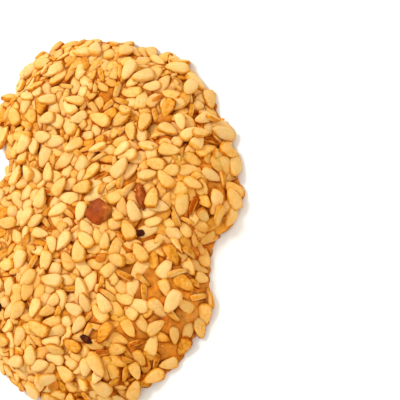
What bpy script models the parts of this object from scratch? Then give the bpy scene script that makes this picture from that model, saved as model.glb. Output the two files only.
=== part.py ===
"""A hand-shaped sesame cookie: one flat-bottomed lobed biscuit of baked dough, crusted with
toasted sesame seeds and two chips of nut that are all fused to it.

Metres, +Z up. The cookie lies on its flat underside, which is the plane z = 0, with its
middle at the origin. Its long axis is Y, and the lobed end points to +Y.
"""

import math

import bmesh
import bpy
import numpy as np
from mathutils import Matrix, Vector, noise

MM = 0.001
NODE_NAME = "cookie"
COLLECTION_NAME = "Sesame cookie"

# Dough, millimetres. The edge radii start at +X and go round by way of +Y in equal turns.
EDGE_RADII = (
    18.3, 18.9, 19.4, 20.9, 22.4, 23.9, 25.6, 26.1, 25.3, 22.6, 16.9, 18.0,
    19.3, 20.6, 22.2, 24.2, 26.1, 26.5, 26.0, 23.5, 22.3, 20.2, 15.3, 15.3,
)
DOUGH_HEIGHT = 6.0
SIDE_POWER = 3.8  # how square the shoulder is, seen from above
TOP_POWER = 2.15  # how square the shoulder is, seen from the side
FOOT_SPREAD = 1.25  # the thin skirt where the soft dough ran out before it set
FOOT_HEIGHT = 0.95
FOOT_RAGGED = 0.8
FOOT_RAGGED_WAVE = 3.4
FOOT_RAGGED_REACH = 22.0  # the distance from the middle at which the raggedness is read
FOOT_TUCK = 0.35
FOOT_TUCK_HEIGHT = 0.45

# Broad rises and hollows of the top: x, y, reach, height, millimetres.
SWELLS = (
    (6.5, 16.5, 8.0, 0.6),
    (-5.0, 19.0, 7.0, 0.3),
    (0.5, 2.5, 7.0, 0.5),
    (-6.5, -8.0, 8.0, 0.7),
    (6.8, 4.4, 3.0, -0.5),
    (15.0, 3.0, 6.0, -0.6),
    (12.0, -14.0, 6.0, -0.5),
    (-16.5, 9.5, 4.0, -0.6),
)
LUMP_WAVE = 9.0
LUMP_HEIGHT = 0.9
CRAG_WAVE = 3.6
CRAG_HEIGHT = 0.36
LUMP_OFFSET = Vector((3.7, 8.1, 1.3))

NORMAL_STEP = 0.012
OUTLINE_STEPS = 360
OUTLINE_CLIMBS = (0.0, 0.1, 0.2, 0.3)  # rings of the skin that can be the widest
HIGHEST_CLIMB = 0.9995  # just short of the crown, where the rings shrink to a point

DOUGH_TURN_STEPS = 56
DOUGH_RINGS = 15
RING_CROWDING = 1.15  # past 1 the rings lie closer together near the foot
BASE_RINGS = (1.0, 0.62, 0.12)  # the underside's rings, as shares of the edge radius
BASE_LEVEL = -0.5  # where the turned blank's underside lies, below its foot at 0
BASE_DEPTH = 0.4  # how far the dough goes below the ground before it is cut off flat
LEVEL_PLACES = 4
CLIMB_HALVINGS = 24

# Seeds, millimetres.
SEED_DRAW = 2417
SEED_COUNT = 400
SEED_TRIES = 24000
SEED_LENGTH = 3.25
SEED_WIDTH = 1.85
SEED_THICKNESS = 0.86
SEED_SPREAD = 0.085  # how far seeds differ in size, as a share
MOST_SPREAD = 2  # how many times that a seed may differ
SEED_TAPER = 0.3  # how much narrower the pointed end is
SEED_SPACING = 1.7
SIDE_SPACING = 2.3
SIDE_RISE = 0.62  # dough steeper than this, as the upward share of its normal, is side
SEED_SINK = 0.56  # share of a seed's thickness pressed into the dough
EDGE_SINK = 0.8  # how much deeper a seed on edge stands, as a share of half its width
SEED_BITE = 0.25  # how deep a seed beds into one that it lies on
SEED_CLEARANCE = 0.2  # least height of a seed's lowest point over the ground
MOST_LIFT = 0.45  # how far a seed on the skirt may be lifted to clear the ground
ARM_SHARE = 0.7  # where along its half length a seed is propped, and where across
SPAN_SHARE = 0.65
MOST_PILE = 0.75  # highest that a seed may lie on others, on the flat top
STEEPEST_LEAN = 0.55
ON_EDGE_SHARE = 0.26
ON_EDGE_SIDE = 0.25  # past this share of the way from top to side, no seed stands on edge
FLOW_WAVE = 7.0
FLOW_STRAY = 0.6  # radians by which a seed strays from its neighbours' direction
FLOW_RISE = 0.3
TILT_STRAY = 0.17
SAMPLE_TURNS = 120
SAMPLE_CLIMBS = 60
SEED_SIDES = 6
SEED_RINGS = 4
SECTION_WIDTH = 0.7  # the lower these are, the flatter a seed's faces
SECTION_THICKNESS = 0.5
SEED_FULLNESS = 1.06  # makes up for what the few flat faces cut off a round seed

# Where the seeds lie further apart, millimetres.
SPARSE_AT = (12.3, -14.5)
SPARSE_REACH = 8.0
SPARSE_EXTRA = 0.14

# Patches of dough where no seed has its middle: x, y, radius, millimetres.
BARE_PATCHES = (
    (-5.6, 21.6, 1.2),
    (4.6, 22.4, 1.3),
    (1.4, 16.2, 1.4),
    (9.6, 11.9, 1.6),
    (6.1, 3.6, 1.4),
    (7.0, -2.5, 1.3),
    (8.6, -9.7, 1.7),
    (12.7, -15.9, 1.5),
    (9.7, -20.0, 1.7),
    (15.3, -8.3, 1.2),
    (17.0, 1.8, 1.7),
    (15.2, 5.2, 1.5),
    (6.8, -4.3, 0.9),
    (-1.0, -18.5, 0.8),
    (-11.8, 18.2, 0.7),
)

# Nut chips: x, y, length, width, thickness, turn in degrees; millimetres.
NUT_CHIPS = (
    (1.0, -0.9, 4.3, 3.8, 1.6, 4.0),
    (7.0, 1.0, 4.1, 1.6, 1.6, 97.0),
)
NUT_SINK = 0.3
NUT_ROUGHNESS = 0.13
NUT_GRAIN = 1.7  # how many rough spots go over a chip
NUT_CORNERS = 1.3  # 2 is round, seen from above, and 1 has four straight sides
NUT_FLATNESS = 0.75  # 1 is a dome, and less is flatter on top
NUT_DRAW_STEP = 5.0  # keeps one chip's roughness from being the next one's
NUT_CLEARANCE = 0.56  # how near a seed's centre may come to a chip, as a share of its size

MOST_TRIANGLES = 11600
GROUND_HAIR = 0.02  # millimetres by which points of the cut edge lie apart, and others above it

CRUST_COLOUR = (0.72, 0.37, 0.09, 1.0)
CRUST_ROUGHNESS = 0.5
SMOOTH_ANGLE = math.radians(38)


def clear_scene():
    for obj in list(bpy.data.objects):
        bpy.data.objects.remove(obj, do_unlink=True)


def new_collection(name):
    collection = bpy.data.collections.new(name)
    bpy.context.scene.collection.children.link(collection)
    return collection


def crust_material():
    material = bpy.data.materials.new("Toasted sesame crust")
    material.use_nodes = True
    shader = material.node_tree.nodes["Principled BSDF"]
    shader.inputs["Base Color"].default_value = CRUST_COLOUR
    shader.inputs["Roughness"].default_value = CRUST_ROUGHNESS
    shader.inputs["Metallic"].default_value = 0.0
    return material


# --- the dough's form -------------------------------------------------------------------


def edge_radius(turn):
    """The outline's radius at an angle: a smooth curve through the radii given."""
    place = turn / (2 * math.pi) * len(EDGE_RADII)
    index = math.floor(place)
    share = place - index
    before, here, after, beyond = (
        EDGE_RADII[(index + step) % len(EDGE_RADII)] for step in (-1, 0, 1, 2)
    )
    leave = (after - before) / 2
    arrive = (beyond - here) / 2
    bend = 3 * (after - here) - 2 * leave - arrive
    twist = 2 * (here - after) + leave + arrive
    return here + share * (leave + share * (bend + share * twist))


def foot_spread(turn, height):
    """How far the ragged skirt stands out, and the tuck under its lip."""
    edge = Vector((math.cos(turn), math.sin(turn), 0.0)) * FOOT_RAGGED_REACH / FOOT_RAGGED_WAVE
    ragged = FOOT_SPREAD + FOOT_RAGGED * noise.noise(edge)
    tuck = FOOT_TUCK * max(0.0, 1 - height / FOOT_TUCK_HEIGHT) ** 2
    return ragged * math.exp(-((height / FOOT_HEIGHT) ** 2)) - tuck


def relief(x, y, z):
    """Rises, lumps and crags of the baked surface, measured along its normal."""
    at = Vector((x, y, z))
    height = LUMP_HEIGHT * noise.noise(at / LUMP_WAVE + LUMP_OFFSET)
    height += CRAG_HEIGHT * noise.noise(at / CRAG_WAVE - LUMP_OFFSET)
    for swell_x, swell_y, reach, rise in SWELLS:
        away = ((x - swell_x) ** 2 + (y - swell_y) ** 2) / reach**2
        height += rise * math.exp(-away)
    return height


def dough_point(turn, climb):
    """A point of the dough's skin in millimetres: climb is 0 at the foot, 1 at the crown."""
    radius = edge_radius(turn)
    lift = climb * math.pi / 2
    out = math.cos(lift) ** (2 / SIDE_POWER) if climb < 1 else 0.0
    up = math.sin(lift) ** (2 / TOP_POWER)
    height = DOUGH_HEIGHT * up
    reach = radius * out
    side = SIDE_POWER * out ** (SIDE_POWER - 1) / radius
    rise = TOP_POWER * up ** (TOP_POWER - 1) / DOUGH_HEIGHT
    size = math.hypot(side, rise)
    bump = relief(reach * math.cos(turn), reach * math.sin(turn), height)
    reach += bump * side / size + foot_spread(turn, height)
    height += bump * rise / size
    return Vector((reach * math.cos(turn), reach * math.sin(turn), max(height, 0.0)))


def dough_normal(turn, climb):
    low = min(max(climb - NORMAL_STEP, 0.0), HIGHEST_CLIMB - 2 * NORMAL_STEP)
    high = low + 2 * NORMAL_STEP
    across = dough_point(turn + NORMAL_STEP, climb) - dough_point(turn - NORMAL_STEP, climb)
    upward = dough_point(turn, high) - dough_point(turn, low)
    return across.cross(upward).normalized()


def dough_profile():
    """The turned blank's outline, crown to foot and then in under the base, as (share, climb)."""
    profile = [(0.0, 1.0)]
    for ring in range(1, DOUGH_RINGS + 1):
        climb = 1 - (ring / DOUGH_RINGS) ** RING_CROWDING
        profile.append((math.cos(climb * math.pi / 2) ** (2 / SIDE_POWER), climb))
    return profile


def make_dough(collection):
    """A Screw-turned blank whose rings are then pushed out to the lobed, lumpy form."""
    rings = dough_profile()
    edges = [(out, 1.0 - ring / len(rings)) for ring, (out, climb) in enumerate(rings)]
    edges += [(share, BASE_LEVEL) for share in BASE_RINGS]
    mesh = bpy.data.meshes.new(NODE_NAME)
    mesh.from_pydata(
        [(out, 0.0, level) for out, level in edges],
        [(index, index + 1) for index in range(len(edges) - 1)],
        [],
    )
    blank = bpy.data.objects.new(NODE_NAME, mesh)
    collection.objects.link(blank)
    screw = blank.modifiers.new("Turn", "SCREW")
    screw.steps = DOUGH_TURN_STEPS
    screw.render_steps = DOUGH_TURN_STEPS
    screw.use_merge_vertices = True
    screw.merge_threshold = 0.0001
    replace_by_evaluated(blank)
    levels = {round(level, LEVEL_PLACES): climb for (out, level), (_, climb) in zip(edges, rings)}
    form = bmesh.new()
    form.from_mesh(blank.data)
    for vert in form.verts:
        turn = math.atan2(vert.co.y, vert.co.x)
        climb = levels.get(round(vert.co.z, LEVEL_PLACES))
        if climb is None:
            share = math.hypot(vert.co.x, vert.co.y)
            foot = dough_point(turn, 0.0) * share
            vert.co = Vector((foot.x, foot.y, -BASE_DEPTH)) * MM
        else:
            vert.co = dough_point(turn, climb) * MM
    rim = [edge for edge in form.edges if edge.is_boundary]
    bmesh.ops.contextual_create(form, geom=rim)
    finish_form(form, blank.data)
    return blank


def replace_by_evaluated(obj):
    """Makes an object's mesh what its modifiers show, and removes them."""
    graph = bpy.context.evaluated_depsgraph_get()
    shown = bpy.data.meshes.new_from_object(obj.evaluated_get(graph))
    obj.modifiers.clear()
    obj.data = shown


# --- where the seeds lie ----------------------------------------------------------------


class Seed:
    """One seed's place: its centre, its three axes (rows) and half its size along each."""

    def __init__(self, centre, axes, half):
        self.centre = centre
        self.axes = axes
        self.half = half


def unit(vector):
    return vector / np.linalg.norm(vector)


def tops_over(points, normal, placed):
    """How high the seeds already placed stand over each point, along the normal."""
    heights = np.zeros(len(points))
    if not placed:
        return heights
    centres = np.array([seed.centre for seed in placed])
    near = np.linalg.norm(centres - points[0], axis=1) < 2 * SEED_LENGTH
    chosen = [placed[index] for index in np.flatnonzero(near)]
    if not chosen:
        return heights
    centres = centres[near]
    scaled = np.array([seed.axes / seed.half[:, None] for seed in chosen])
    ray = scaled @ normal
    for index, point in enumerate(points):
        start = np.einsum("kij,kj->ki", scaled, point - centres)
        a = (ray * ray).sum(axis=1)
        b = (ray * start).sum(axis=1)
        c = (start * start).sum(axis=1) - 1
        inside = b * b - a * c
        hit = inside > 0
        if hit.any():
            top = (-b[hit] + np.sqrt(inside[hit])) / a[hit]
            heights[index] = max(0.0, top.max())
    return heights


def rest_seed(point, normal, along, half, on_edge, most_pile, placed):
    """Lays a seed on the dough and on the seeds under it, or returns None if they pile up."""
    across = np.cross(normal, along)
    arm, span = ARM_SHARE * half[0], SPAN_SHARE * half[1]
    feet = [point, point + arm * along, point - arm * along]
    feet += [point + span * across, point - span * across]
    heights = tops_over(np.array(feet), normal, placed)
    lean_along = np.clip((heights[1] - heights[2]) / (2 * arm), -STEEPEST_LEAN, STEEPEST_LEAN)
    lean_across = np.clip((heights[3] - heights[4]) / (2 * span), -STEEPEST_LEAN, STEEPEST_LEAN)
    offsets = np.array([0.0, arm * lean_along, -arm * lean_along])
    offsets = np.append(offsets, [span * lean_across, -span * lean_across])
    base = (heights - offsets).max()
    if base > most_pile:
        return None
    if base < SEED_BITE:
        base = -SEED_SINK * 2 * half[2]
    else:
        base -= SEED_BITE
    thin = unit(normal - lean_along * along - lean_across * across)
    along = unit(along - thin * (along @ thin))
    across = np.cross(thin, along)
    if on_edge:
        across, thin = thin, -across
        base -= EDGE_SINK * half[1]
    rise = half[1] if on_edge else half[2]
    centre = point + normal * (base + rise)
    return Seed(centre, np.array([along, across, thin]), half)


def is_bare(x, y):
    for patch_x, patch_y, radius in BARE_PATCHES:
        if math.hypot(x - patch_x, y - patch_y) < radius:
            return True
    for chip_x, chip_y, length, width, _, degrees in NUT_CHIPS:
        angle = math.radians(degrees)
        along = (x - chip_x) * math.cos(angle) + (y - chip_y) * math.sin(angle)
        across = (y - chip_y) * math.cos(angle) - (x - chip_x) * math.sin(angle)
        if math.hypot(along / length, across / width) < NUT_CLEARANCE:
            return True
    return False


def skin_samples(draw, count):
    """Random places on the skin, as likely anywhere by area, as turns and climbs."""
    turns = [2 * math.pi * step / SAMPLE_TURNS for step in range(SAMPLE_TURNS + 1)]
    climbs = [step / SAMPLE_CLIMBS for step in range(SAMPLE_CLIMBS + 1)]
    grid = np.array([[dough_point(turn, climb) for climb in climbs] for turn in turns])
    one = grid[1:, 1:] - grid[:-1, :-1]
    other = grid[:-1, 1:] - grid[1:, :-1]
    area = np.linalg.norm(np.cross(one, other), axis=2).ravel()
    cells = draw.choice(area.size, size=count, p=area / area.sum())
    places = []
    for cell in cells:
        turn = 2 * math.pi * (cell // SAMPLE_CLIMBS + draw.random()) / SAMPLE_TURNS
        climb = min((cell % SAMPLE_CLIMBS + draw.random()) / SAMPLE_CLIMBS, HIGHEST_CLIMB)
        places.append((turn, climb))
    return places


def lay_seeds():
    """Places the seeds one by one where the dough has room for one more."""
    draw = np.random.default_rng(SEED_DRAW)
    placed = []
    for turn, climb in skin_samples(draw, SEED_TRIES):
        flow_stray, tilt_a, tilt_b, size = draw.normal(size=4)
        edge_luck = draw.random()
        point = np.array(dough_point(turn, climb))
        if is_bare(point[0], point[1]):
            continue
        normal = np.array(dough_normal(turn, climb))
        side = np.clip((SIDE_RISE - normal[2]) / SIDE_RISE, 0, 1)
        spacing = SEED_SPACING + side * (SIDE_SPACING - SEED_SPACING)
        away = math.hypot(point[0] - SPARSE_AT[0], point[1] - SPARSE_AT[1])
        spacing *= 1 + SPARSE_EXTRA * math.exp(-((away / SPARSE_REACH) ** 2))
        if placed:
            apart = np.linalg.norm([seed.centre - point for seed in placed], axis=1)
            if apart.min() < spacing:
                continue
        scale = 1 + SEED_SPREAD * np.clip(size, -MOST_SPREAD, MOST_SPREAD)
        half = np.array([SEED_LENGTH, SEED_WIDTH, SEED_THICKNESS]) / 2 * scale
        flow = 2 * math.pi * noise.noise(Vector(point) / FLOW_WAVE) + FLOW_STRAY * flow_stray
        level = unit(np.cross(normal, (-math.sin(flow), math.cos(flow), FLOW_RISE)))
        tipped = unit(normal + TILT_STRAY * (tilt_a * level + tilt_b * np.cross(normal, level)))
        along = unit(level - tipped * (level @ tipped))
        on_edge = edge_luck < ON_EDGE_SHARE and side < ON_EDGE_SIDE
        pile = SEED_BITE if on_edge else max(SEED_BITE, MOST_PILE * (1 - side))
        seed = rest_seed(point, tipped, along, half, on_edge, pile, placed)
        if seed is None:
            continue
        lowest = seed.centre[2] - np.linalg.norm(seed.axes[:, 2] * seed.half)
        lift = max(0.0, SEED_CLEARANCE - lowest)
        if lift > MOST_LIFT:
            continue
        seed.centre[2] += lift
        placed.append(seed)
        if len(placed) == SEED_COUNT:
            break
    return placed


def middle_of(seeds):
    """The middle of the crusted cookie's outline, so that it can be set on the origin."""
    turns = (2 * math.pi * step / OUTLINE_STEPS for step in range(OUTLINE_STEPS))
    outline = np.array([dough_point(turn, climb) for turn in turns for climb in OUTLINE_CLIMBS])
    reach = np.array([np.linalg.norm(seed.axes * seed.half[:, None], axis=0) for seed in seeds])
    centres = np.array([seed.centre for seed in seeds])
    low = np.minimum(outline.min(axis=0), (centres - reach).min(axis=0))
    high = np.maximum(outline.max(axis=0), (centres + reach).max(axis=0))
    middle = (low + high) / 2
    return Vector((middle[0], middle[1], 0.0))


# --- toppings ---------------------------------------------------------------------------


def make_seed(index, seed, collection):
    """A flat drop: a low sphere, squared and narrowed to one pole, stretched to the size."""
    form = bmesh.new()
    bmesh.ops.create_uvsphere(form, u_segments=SEED_SIDES, v_segments=SEED_RINGS, radius=1.0)
    for vert in form.verts:
        along, across, thin = vert.co.z, vert.co.x, vert.co.y
        ring = math.hypot(across, thin)
        if ring > 0:
            across = ring * math.copysign(abs(across / ring) ** SECTION_WIDTH, across)
            thin = ring * math.copysign(abs(thin / ring) ** SECTION_THICKNESS, thin)
        narrow = 1 - SEED_TAPER * along
        vert.co = Vector((along, across * narrow, thin * narrow))
    stretch = Matrix.Diagonal(Vector(seed.half * SEED_FULLNESS))
    place = Matrix(seed.axes.T.tolist()) @ stretch
    bmesh.ops.transform(form, matrix=place.to_4x4(), verts=form.verts)
    bmesh.ops.translate(form, vec=Vector(seed.centre), verts=form.verts)
    bmesh.ops.scale(form, vec=(MM, MM, MM), verts=form.verts)
    return new_object(f"seed_{index:03d}", form, collection)


def with_corners(spot):
    """A point of a unit ball, moved to give the ball four corners and a flatter top."""
    ring = math.hypot(spot.x, spot.y)
    height = math.copysign(abs(spot.z) ** NUT_FLATNESS, spot.z)
    if ring == 0:
        return Vector((0.0, 0.0, height))
    sides = (abs(spot.x) / ring) ** NUT_CORNERS + (abs(spot.y) / ring) ** NUT_CORNERS
    pull = sides ** (-1 / NUT_CORNERS)
    return Vector((spot.x * pull, spot.y * pull, height))


def make_nut_chip(index, chip, collection):
    """A broken nut: a low ball with four corners, roughened."""
    x, y, length, width, thickness, degrees = chip
    turn = math.atan2(y, x)
    climb = climb_at(turn, math.hypot(x, y))
    normal = dough_normal(turn, climb)
    form = bmesh.new()
    bmesh.ops.create_icosphere(form, subdivisions=2, radius=1.0)
    for vert in form.verts:
        spot = vert.co * NUT_GRAIN + Vector((index * NUT_DRAW_STEP, 0, 0))
        vert.co = with_corners(vert.co) * (1 + NUT_ROUGHNESS * noise.noise(spot))
    size = Matrix.Diagonal(Vector((length, width, thickness)) / 2)
    lean = Vector((0, 0, 1)).rotation_difference(normal).to_matrix()
    turn_matrix = Matrix.Rotation(math.radians(degrees), 3, "Z")
    bmesh.ops.transform(form, matrix=(lean @ turn_matrix @ size).to_4x4(), verts=form.verts)
    centre = dough_point(turn, climb) + normal * thickness * (0.5 - NUT_SINK)
    bmesh.ops.translate(form, vec=centre, verts=form.verts)
    bmesh.ops.scale(form, vec=(MM, MM, MM), verts=form.verts)
    return new_object(f"nut_chip_{index}", form, collection)


def climb_at(turn, reach):
    """The climb whose point lies at this distance from the middle, by halving."""
    low, high = 0.0, 1.0
    for _ in range(CLIMB_HALVINGS):
        middle = (low + high) / 2
        if dough_point(turn, middle).xy.length > reach:
            low = middle
        else:
            high = middle
    return low


def finish_form(form, mesh):
    """Writes a closed form to a mesh, facing out, in triangles that a union cuts cleanly."""
    bmesh.ops.recalc_face_normals(form, faces=form.faces)
    bmesh.ops.triangulate(form, faces=form.faces)
    form.to_mesh(mesh)
    form.free()


def new_object(name, form, collection):
    mesh = bpy.data.meshes.new(name)
    finish_form(form, mesh)
    obj = bpy.data.objects.new(name, mesh)
    collection.objects.link(obj)
    return obj


# --- the finished cookie ----------------------------------------------------------------


def fuse(body, collection):
    """Joins the collection's pieces to the body, and removes them."""
    union = body.modifiers.new("Toppings", "BOOLEAN")
    union.operation = "UNION"
    union.operand_type = "COLLECTION"
    union.collection = collection
    union.solver = "MANIFOLD"
    replace_by_evaluated(body)
    for obj in list(collection.objects):
        bpy.data.objects.remove(obj, do_unlink=True)
    bpy.data.collections.remove(collection)


def keep_largest_shell(mesh):
    """Drops loose scraps, and the walls of any hollow that fusing sealed."""
    form = bmesh.new()
    form.from_mesh(mesh)
    waiting = set(form.verts)
    shells = []
    while waiting:
        front = [waiting.pop()]
        shell = set(front)
        while front:
            vert = front.pop()
            for edge in vert.link_edges:
                other = edge.other_vert(vert)
                if other in waiting:
                    waiting.remove(other)
                    shell.add(other)
                    front.append(other)
        shells.append(shell)
    shells.sort(key=len)
    extra = [vert for shell in shells[:-1] for vert in shell]
    bmesh.ops.delete(form, geom=extra, context="VERTS")
    bmesh.ops.triangulate(form, faces=form.faces)
    form.to_mesh(mesh)
    form.free()


def thin_out(obj):
    """Collapses the shortest edges that fusing left, down to the most triangles wanted."""
    count = len(obj.data.polygons)
    if count > MOST_TRIANGLES:
        fewer = obj.modifiers.new("Fewer", "DECIMATE")
        fewer.ratio = MOST_TRIANGLES / count
        replace_by_evaluated(obj)


def cut_base(mesh):
    """Cuts the cookie off flat at the ground and closes the cut."""
    form = bmesh.new()
    form.from_mesh(mesh)
    whole = form.verts[:] + form.edges[:] + form.faces[:]
    bmesh.ops.bisect_plane(
        form, geom=whole, dist=GROUND_HAIR * MM, plane_no=(0.0, 0.0, 1.0), clear_inner=True
    )
    rim = [vert for vert in form.verts if vert.is_boundary]
    bmesh.ops.remove_doubles(form, verts=rim, dist=GROUND_HAIR * MM)
    for vert in form.verts:
        if vert.is_boundary:
            vert.co.z = 0.0
        elif vert.co.z < GROUND_HAIR * MM:
            vert.co.z = GROUND_HAIR * MM
    bmesh.ops.contextual_create(form, geom=[edge for edge in form.edges if edge.is_boundary])
    finish_form(form, mesh)


def main():
    clear_scene()
    cookie_collection = new_collection(COLLECTION_NAME)
    topping_collection = new_collection("Toppings")
    cookie = make_dough(cookie_collection)
    seeds = lay_seeds()
    for index, seed in enumerate(seeds):
        make_seed(index, seed, topping_collection)
    for index, chip in enumerate(NUT_CHIPS):
        make_nut_chip(index, chip, topping_collection)
    fuse(cookie, topping_collection)
    keep_largest_shell(cookie.data)
    thin_out(cookie)
    cut_base(cookie.data)
    cookie.data.transform(Matrix.Translation(-middle_of(seeds) * MM))
    cookie.data.materials.clear()
    cookie.data.materials.append(crust_material())
    cookie.data.shade_smooth()
    cookie.data.set_sharp_from_angle(angle=SMOOTH_ANGLE)


main()
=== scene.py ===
"""A sesame cookie dressed for a close look: baked dough, toasted seeds, nut chips and glaze.

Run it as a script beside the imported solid. Its colours, numbers of seeds and lights are also
in the 3D view's sidebar, under Cookie, where each button makes one kind of piece again.
"""

import functools
import math
from typing import NamedTuple

import bmesh
import bpy
import numpy as np
from bpy.props import FloatProperty, FloatVectorProperty, IntProperty, PointerProperty
from mathutils import Matrix, Vector, noise


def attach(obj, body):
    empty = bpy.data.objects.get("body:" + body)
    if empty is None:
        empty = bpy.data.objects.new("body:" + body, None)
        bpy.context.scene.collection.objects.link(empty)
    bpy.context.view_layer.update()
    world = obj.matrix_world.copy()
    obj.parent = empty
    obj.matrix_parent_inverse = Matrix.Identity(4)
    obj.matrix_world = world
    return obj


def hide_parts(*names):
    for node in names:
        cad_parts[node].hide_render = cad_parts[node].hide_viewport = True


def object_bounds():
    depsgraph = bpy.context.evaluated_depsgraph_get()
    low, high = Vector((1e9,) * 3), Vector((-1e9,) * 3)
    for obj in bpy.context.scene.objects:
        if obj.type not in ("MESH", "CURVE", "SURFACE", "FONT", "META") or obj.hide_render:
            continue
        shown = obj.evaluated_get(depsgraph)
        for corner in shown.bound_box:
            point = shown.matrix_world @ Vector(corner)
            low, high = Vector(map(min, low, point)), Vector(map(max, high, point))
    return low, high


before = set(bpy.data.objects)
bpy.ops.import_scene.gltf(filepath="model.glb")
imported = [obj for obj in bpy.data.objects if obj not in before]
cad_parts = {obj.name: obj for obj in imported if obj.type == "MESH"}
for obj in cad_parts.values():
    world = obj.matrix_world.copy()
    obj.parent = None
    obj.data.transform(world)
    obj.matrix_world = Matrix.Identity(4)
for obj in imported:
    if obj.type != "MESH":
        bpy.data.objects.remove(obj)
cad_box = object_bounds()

bl_info = {
    "name": "Sesame cookie",
    "version": (1, 0, 0),
    "blender": (4, 5, 0),
    "location": "View3D > Sidebar > Cookie",
    "description": "Dresses a solid cookie with dough, sesame seeds, nut chips and glaze",
    "category": "Object",
}

MM = 0.001
NODE = "cookie"
BODY = "root"

# --- the form shared with the solid, in millimetres --------------------------------------

# The outline's radii at even angles, round from +X.
EDGE_RADII = (
    18.3, 18.9, 19.4, 20.9, 22.4, 23.9, 25.6, 26.1, 25.3, 22.6, 16.9, 18.0,
    19.3, 20.6, 22.2, 24.2, 26.1, 26.5, 26.0, 23.5, 22.3, 20.2, 15.3, 15.3,
)
DOUGH_HEIGHT = 6.0
SIDE_POWER = 3.8
TOP_POWER = 2.15
FOOT_SPREAD = 1.25
FOOT_HEIGHT = 0.95
FOOT_RAGGED = 0.8
FOOT_RAGGED_WAVE = 3.4
FOOT_RAGGED_REACH = 22.0
FOOT_TUCK = 0.35
FOOT_TUCK_HEIGHT = 0.45
# Rises and dips of the dough: x, y, reach, height.
SWELLS = (
    (6.5, 16.5, 8.0, 0.6),
    (-5.0, 19.0, 7.0, 0.3),
    (0.5, 2.5, 7.0, 0.5),
    (-6.5, -8.0, 8.0, 0.7),
    (6.8, 4.4, 3.0, -0.5),
    (15.0, 3.0, 6.0, -0.6),
    (12.0, -14.0, 6.0, -0.5),
    (-16.5, 9.5, 4.0, -0.6),
)
LUMP_WAVE = 9.0
LUMP_HEIGHT = 0.9
CRAG_WAVE = 3.6
CRAG_HEIGHT = 0.36
LUMP_OFFSET = Vector((3.7, 8.1, 1.3))
NORMAL_STEP = 0.012
OUTLINE_STEPS = 360
OUTLINE_CLIMBS = (0.0, 0.1, 0.2, 0.3)
HIGHEST_CLIMB = 0.9995
CLIMB_HALVINGS = 24
TABLE_STRIDE = 10  # the table of climbs is averaged over every tenth turn

SEED_COUNT = 400
SEED_LENGTH = 3.25
SEED_WIDTH = 1.85
SEED_THICKNESS = 0.86
SEED_SPREAD = 0.085
MOST_SPREAD = 2
SEED_TAPER = 0.3
SIDE_RISE = 0.62
SEED_SINK = 0.56
EDGE_SINK = 0.8
SEED_BITE = 0.25
SEED_CLEARANCE = 0.2
MOST_LIFT = 0.45
ARM_SHARE = 0.7
SPAN_SHARE = 0.65
MOST_PILE = 0.75
STEEPEST_LEAN = 0.55
ON_EDGE_SIDE = 0.25
FLOW_WAVE = 7.0
FLOW_STRAY = 0.6
FLOW_RISE = 0.3
TILT_STRAY = 0.17
SAMPLE_TURNS = 120
SAMPLE_CLIMBS = 60

# Where no seed lies: x, y, radius.
BARE_PATCHES = (
    (-5.6, 21.6, 1.2),
    (4.6, 22.4, 1.3),
    (1.4, 16.2, 1.4),
    (9.6, 11.9, 1.6),
    (6.1, 3.6, 1.4),
    (7.0, -2.5, 1.3),
    (8.6, -9.7, 1.7),
    (12.7, -15.9, 1.5),
    (9.7, -20.0, 1.7),
    (15.3, -8.3, 1.2),
    (17.0, 1.8, 1.7),
    (15.2, 5.2, 1.5),
    (6.8, -4.3, 0.9),
    (-1.0, -18.5, 0.8),
    (-11.8, 18.2, 0.7),
)
SPARSE_AT = (12.3, -14.5)
SPARSE_REACH = 8.0
# Nut chips: x, y, length, width, thickness, turn in degrees.
NUT_CHIPS = (
    (1.0, -0.9, 4.3, 3.8, 1.6, 4.0),
    (7.0, 1.0, 4.1, 1.6, 1.6, 97.0),
)
NUT_SINK = 0.3
NUT_ROUGHNESS = 0.13
NUT_CORNERS = 1.3
NUT_FLATNESS = 0.75
NUT_CLEARANCE = 0.56

# --- how the seeds are laid, in millimetres ----------------------------------------------


class Laying(NamedTuple):
    """How one lot of seeds is laid: the number its luck is drawn from, how many places are
    tried, how far apart seeds lie on top and on the side, their scale, the share that stands
    on edge, and how much further apart they lie in the thinly seeded part."""

    luck: int
    tries: int
    spacing: float
    side_spacing: float
    scale: float
    edge_share: float
    thinning: float


LARGE = Laying(2417, 24000, 1.7, 2.3, 1.0, 0.26, 0.14)  # the solid's own seeds
FILLERS = Laying(905, 16000, 1.25, 1.5, 0.94, 0.4, 0.4)  # between the large ones
TUCKED = Laying(515, 9000, 1.0, 1.0, 0.9, 0.0, 0.8)  # bedded in the dough that still shows
TUCKED_TOPS = (0.2, 0.36)  # how far they stand out of the dough
BOX_MARGIN = 0.05

# --- what is finer than the solid, in millimetres ----------------------------------------

SKIN_CELLS = 264  # cells across the dough's upper skin
BASE_CELLS = 88
BASE_SHARE = 0.985
BASE_DROP = 2.0  # while it is stitched on, so that the stitches don't twist
BASE_ROUGHNESS = (0.5, 1.0, 0.5)  # everywhere, by crumbs and by grain
BASE_HOLLOW = 0.16
BASE_PORE_WAVE = 2.3
BASE_PORE_SIZE = 0.34
BASE_PORE_DEPTH = 0.4
BASE_RIM = 0.03  # the share of the way in that stays flat
GRAIN_WAVE = 0.9
GRAIN_HEIGHT = 0.17
CRUMB_WAVE = 2.1
CRUMB_HEIGHT = 0.1
PORE_WAVE = 1.5
PORE_DEPTH = 0.12
PORE_SIZE = 0.3
CRUMBLE_WAVE = 1.3
CRUMBLE_HEIGHT = 0.55
CRUMBLE_LEVEL = 0.45
CRUMBLE_SLOPES = (0.2, 0.9)
CRUMBLE_SHARES = (1.0, 0.15)
UPPER_SLOPE = -0.5  # what faces further down than this counts as the underside
FILL_LEVELS = (-0.25, 0.25)
FILL_RISE = (0.02, 0.3)
FILL_REACH = 0.5
FILL_WAVE = 6.0
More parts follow.
